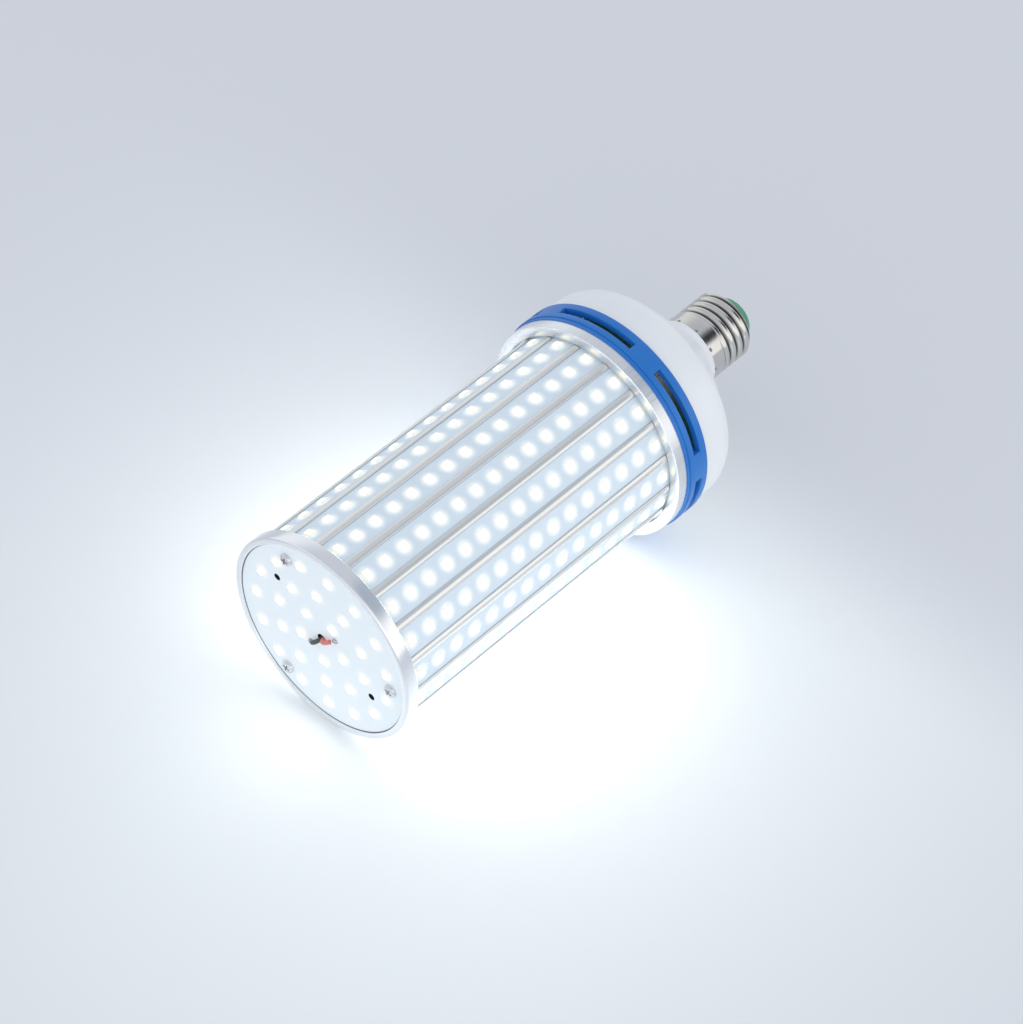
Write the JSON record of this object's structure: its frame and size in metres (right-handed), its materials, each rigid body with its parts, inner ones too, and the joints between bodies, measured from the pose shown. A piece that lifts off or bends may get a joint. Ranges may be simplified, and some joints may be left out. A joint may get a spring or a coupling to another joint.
{
  "type": "corn led bulb",
  "caption": "Cylindrical LED corn bulb: slotted aluminium barrel with LED strips and a lit front board, blue vent ring, white dome housing and screw cap.",
  "frame": {"origin": "on the bulb's axis at the rim of the screw cap", "axes": "+X along the axis from the lit front end to the cap's contact, +Z through the middle of one LED strip"},
  "size_m": [0.2168, 0.0874, 0.0874],
  "materials": {
    "barrel_aluminium": "extruded, satin",
    "polished_aluminium": "turned and polished",
    "brushed_aluminium": "brushed round its axis",
    "board_white": "white solder mask on an aluminium circuit board",
    "led_package": "lit warm-white phosphor in a white package",
    "screw_steel": "nickel-plated steel",
    "vent_blue": "moulded plastic, satin gloss",
    "housing_white": "moulded plastic, satin",
    "shell_nickel": "nickel-plated drawn shell",
    "insulator_green": "glazed insulator",
    "contact_metal": "nickel-plated contact",
    "driver_green": "circuit board",
    "ferrite_dark": "ferrite and wound wire",
    "capacitor_sleeve": "shrink sleeve",
    "red_insulation": "wire insulation",
    "black_insulation": "wire insulation",
    "solder": "solder"
  },
  "bodies": {
    "root": {"black_lead": "black_insulation", "cap_insulator": "insulator_green", "centre_contact": "contact_metal", "driver_board": "driver_green", "driver_board_screws": "screw_steel", "driver_housing": "housing_white", "driver_transformer": "ferrite_dark", "filter_choke": "ferrite_dark", "front_board_screws": "screw_steel", "front_led_board": "board_white", "front_leds": "led_package", "front_trim_ring": "polished_aluminium", "heat_sink_barrel": "barrel_aluminium", "input_capacitor": "capacitor_sleeve", "lead_solder_joints": "solder", "led_strip_01": "board_white", "led_strip_02": "board_white", "led_strip_03": "board_white", "led_strip_04": "board_white", "led_strip_05": "board_white", "led_strip_06": "board_white", "led_strip_07": "board_white", "led_strip_08": "board_white", "led_strip_09": "board_white", "led_strip_10": "board_white", "led_strip_11": "board_white", "led_strip_12": "board_white", "led_strip_13": "board_white", "led_strip_14": "board_white", "led_strip_15": "board_white", "led_strip_16": "board_white", "led_strip_17": "board_white", "led_strip_18": "board_white", "live_lead": "red_insulation", "neutral_lead": "black_insulation", "output_capacitor": "capacitor_sleeve", "rear_ring_screws": "screw_steel", "rear_trim_ring": "brushed_aluminium", "red_lead": "red_insulation", "screw_shell": "shell_nickel", "strip_leds_01": "led_package", "strip_leds_02": "led_package", "strip_leds_03": "led_package", "strip_leds_04": "led_package", "strip_leds_05": "led_package", "strip_leds_06": "led_package", "strip_leds_07": "led_package", "strip_leds_08": "led_package", "strip_leds_09": "led_package", "strip_leds_10": "led_package", "strip_leds_11": "led_package", "strip_leds_12": "led_package", "strip_leds_13": "led_package", "strip_leds_14": "led_package", "strip_leds_15": "led_package", "strip_leds_16": "led_package", "strip_leds_17": "led_package", "strip_leds_18": "led_package", "vent_ring": "vent_blue"}
  },
  "joints": []
}
